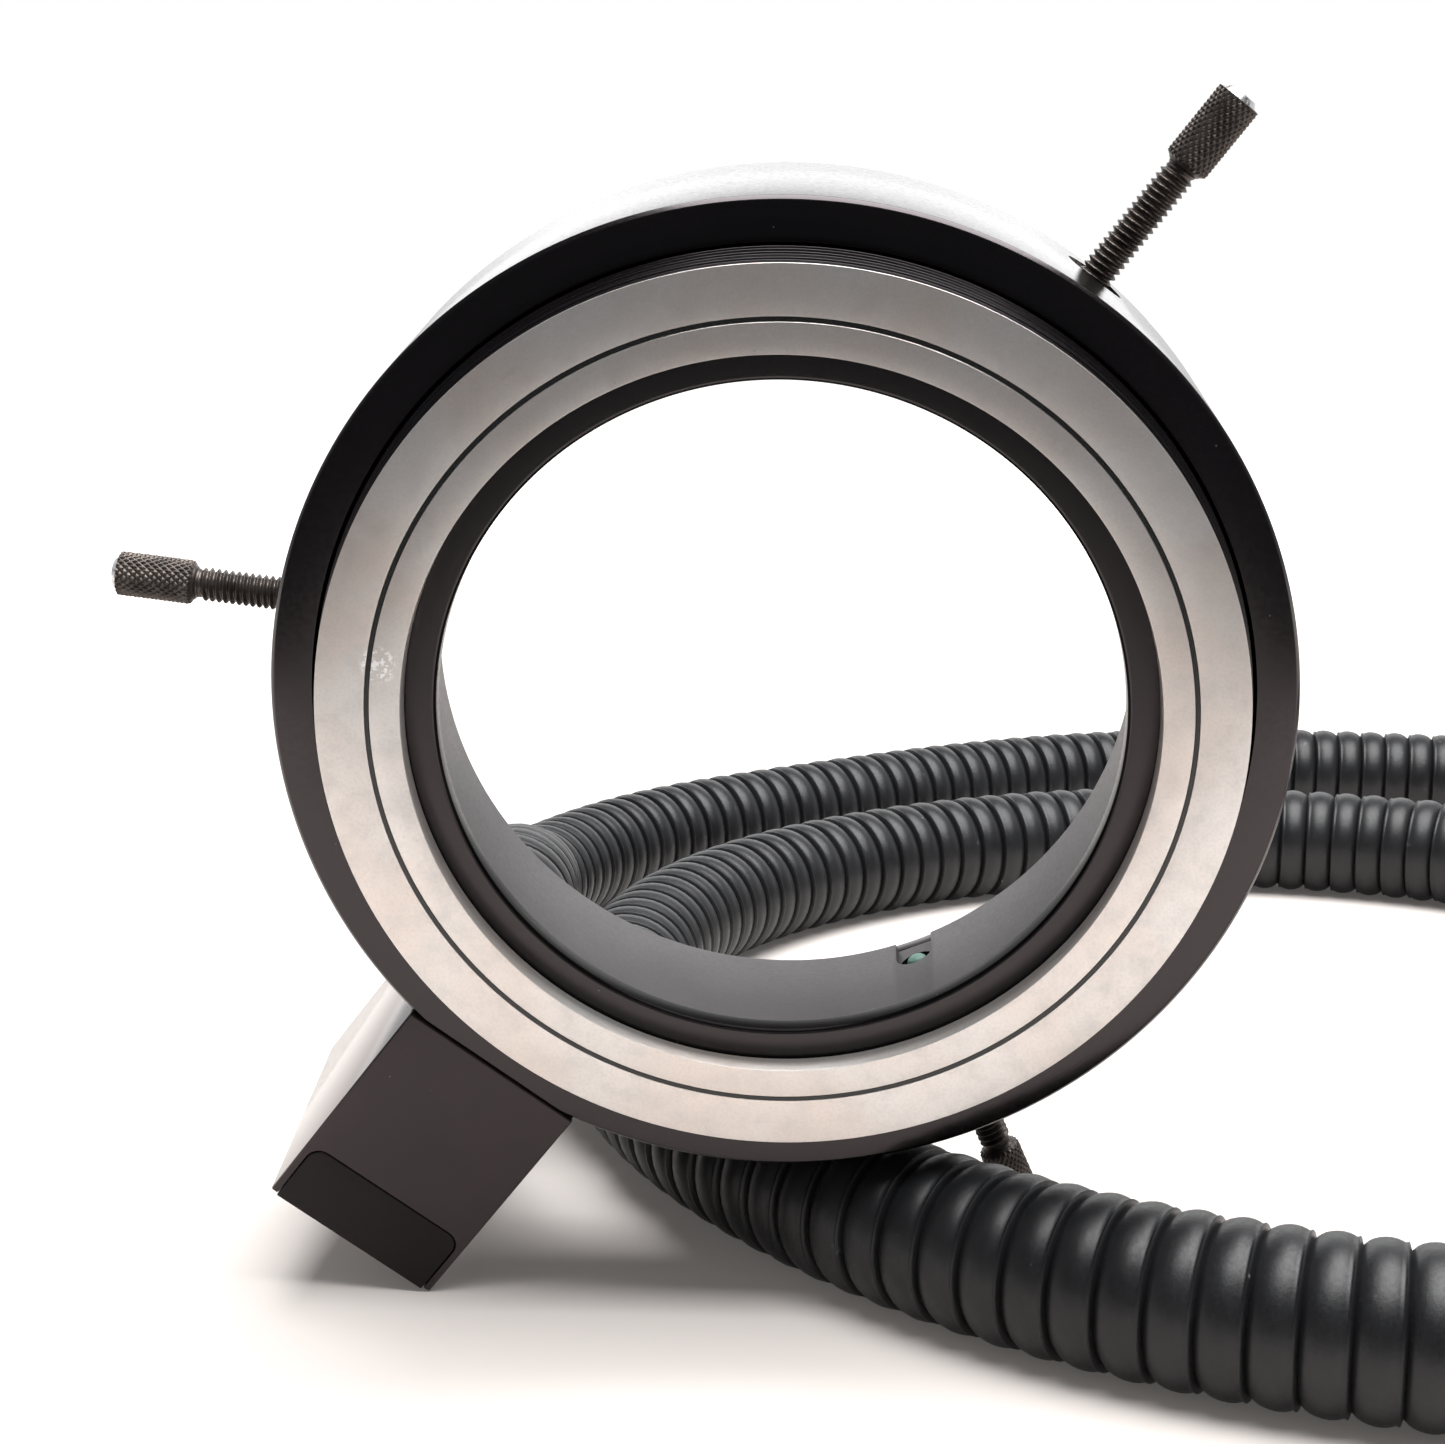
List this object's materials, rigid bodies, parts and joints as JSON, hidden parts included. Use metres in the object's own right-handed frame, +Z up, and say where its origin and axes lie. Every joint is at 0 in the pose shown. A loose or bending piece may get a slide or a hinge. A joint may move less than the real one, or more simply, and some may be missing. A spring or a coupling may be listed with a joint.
{
  "type": "ring light guide",
  "caption": "Annular fibre-optic light head for a stereo microscope, with thumb screws, an inlet block and a coiled ribbed conduit ending in a light-source ferrule.",
  "frame": {"origin": "bottom centre of the head's box, conduit and source end left out, on the surface that it stands on", "axes": "+Z up; -Y the horizontal direction in which the light face looks, 9.9 degrees above its downward lean; +X to the right as the light face is seen"},
  "size_m": [0.3217, 0.2553, 0.1134],
  "materials": {
    "black_anodised": "black anodised, satin",
    "ground_metal": "ground bare metal with fine scratches",
    "potting": "polished fibre ends in dark resin",
    "black_oxide": "black oxide, oiled",
    "soft_tip": "moulded, matte",
    "bright_steel": "turned, bright",
    "conduit_cover": "black, matte, ribbed",
    "glass_fibre": "polished fibre ends"
  },
  "bodies": {
    "head": {"ring_body": "black_anodised", "outer_face_ring": "ground_metal", "inner_face_ring": "ground_metal", "fibre_ring": "potting", "bore_lip_ring": "black_anodised", "rear_cover": "black_anodised", "rear_cover_screw_1": "black_oxide", "rear_cover_screw_2": "black_oxide", "rear_cover_screw_3": "black_oxide", "rear_cover_screw_4": "black_oxide", "rear_cover_screw_5": "black_oxide", "rear_cover_screw_6": "black_oxide", "inlet_block": "black_anodised", "inlet_cover": "black_anodised", "block_screw_1": "black_oxide", "block_screw_2": "black_oxide", "bundle_elbow": "glass_fibre", "hose_ferrule": "bright_steel", "ferrule_set_screw": "black_oxide", "hose": "conduit_cover", "fibre_bundle": "glass_fibre", "source_collar": "bright_steel", "source_ferrule": "bright_steel", "source_face": "glass_fibre", "source_set_screw": "black_oxide"},
    "screw_tip_1": {"screw_tip_1": "soft_tip"},
    "thumb_screw_1": {"thumb_screw_1": "black_oxide"},
    "screw_tip_2": {"screw_tip_2": "soft_tip"},
    "thumb_screw_2": {"thumb_screw_2": "black_oxide"},
    "screw_tip_3": {"screw_tip_3": "soft_tip"},
    "thumb_screw_3": {"thumb_screw_3": "black_oxide"}
  },
  "joints": [
    {"name": "thumb_screw_1_travel", "type": "slide", "parent": "head", "child": "screw_tip_1", "axis": [0.6064, -0.1367, 0.7833], "range_m": [-0.0116, 0.00183]},
    {"name": "thumb_screw_1_turn", "type": "hinge", "parent": "screw_tip_1", "child": "thumb_screw_1", "pos_m": [0.04337, -0.011, 0.10612], "axis": [0.6064, -0.1367, 0.7833], "range_deg": [-6578, 1036]},
    {"name": "thumb_screw_2_travel", "type": "slide", "parent": "head", "child": "screw_tip_2", "axis": [-0.9918, -0.0219, 0.1257], "range_m": [-0.0105, 0.00293]},
    {"name": "thumb_screw_2_turn", "type": "hinge", "parent": "screw_tip_2", "child": "thumb_screw_2", "pos_m": [-0.04599, -0.00448, 0.06876], "axis": [-0.9918, -0.0219, 0.1257], "range_deg": [-5954, 1660]},
    {"name": "thumb_screw_3_travel", "type": "slide", "parent": "head", "child": "screw_tip_3", "axis": [0.3854, 0.1586, -0.909], "range_m": [-0.01075, 0.00267]},
    {"name": "thumb_screw_3_turn", "type": "hinge", "parent": "screw_tip_3", "child": "thumb_screw_3", "pos_m": [0.03054, 0.00558, 0.01111], "axis": [0.3854, 0.1586, -0.909], "range_deg": [-6096, 1518]}
  ],
  "couplings": [
    {"joint": "thumb_screw_1_turn", "follows": "thumb_screw_1_travel", "rad_per_m": 9894.8},
    {"joint": "thumb_screw_2_turn", "follows": "thumb_screw_2_travel", "rad_per_m": 9894.8},
    {"joint": "thumb_screw_3_turn", "follows": "thumb_screw_3_travel", "rad_per_m": 9894.8}
  ]
}
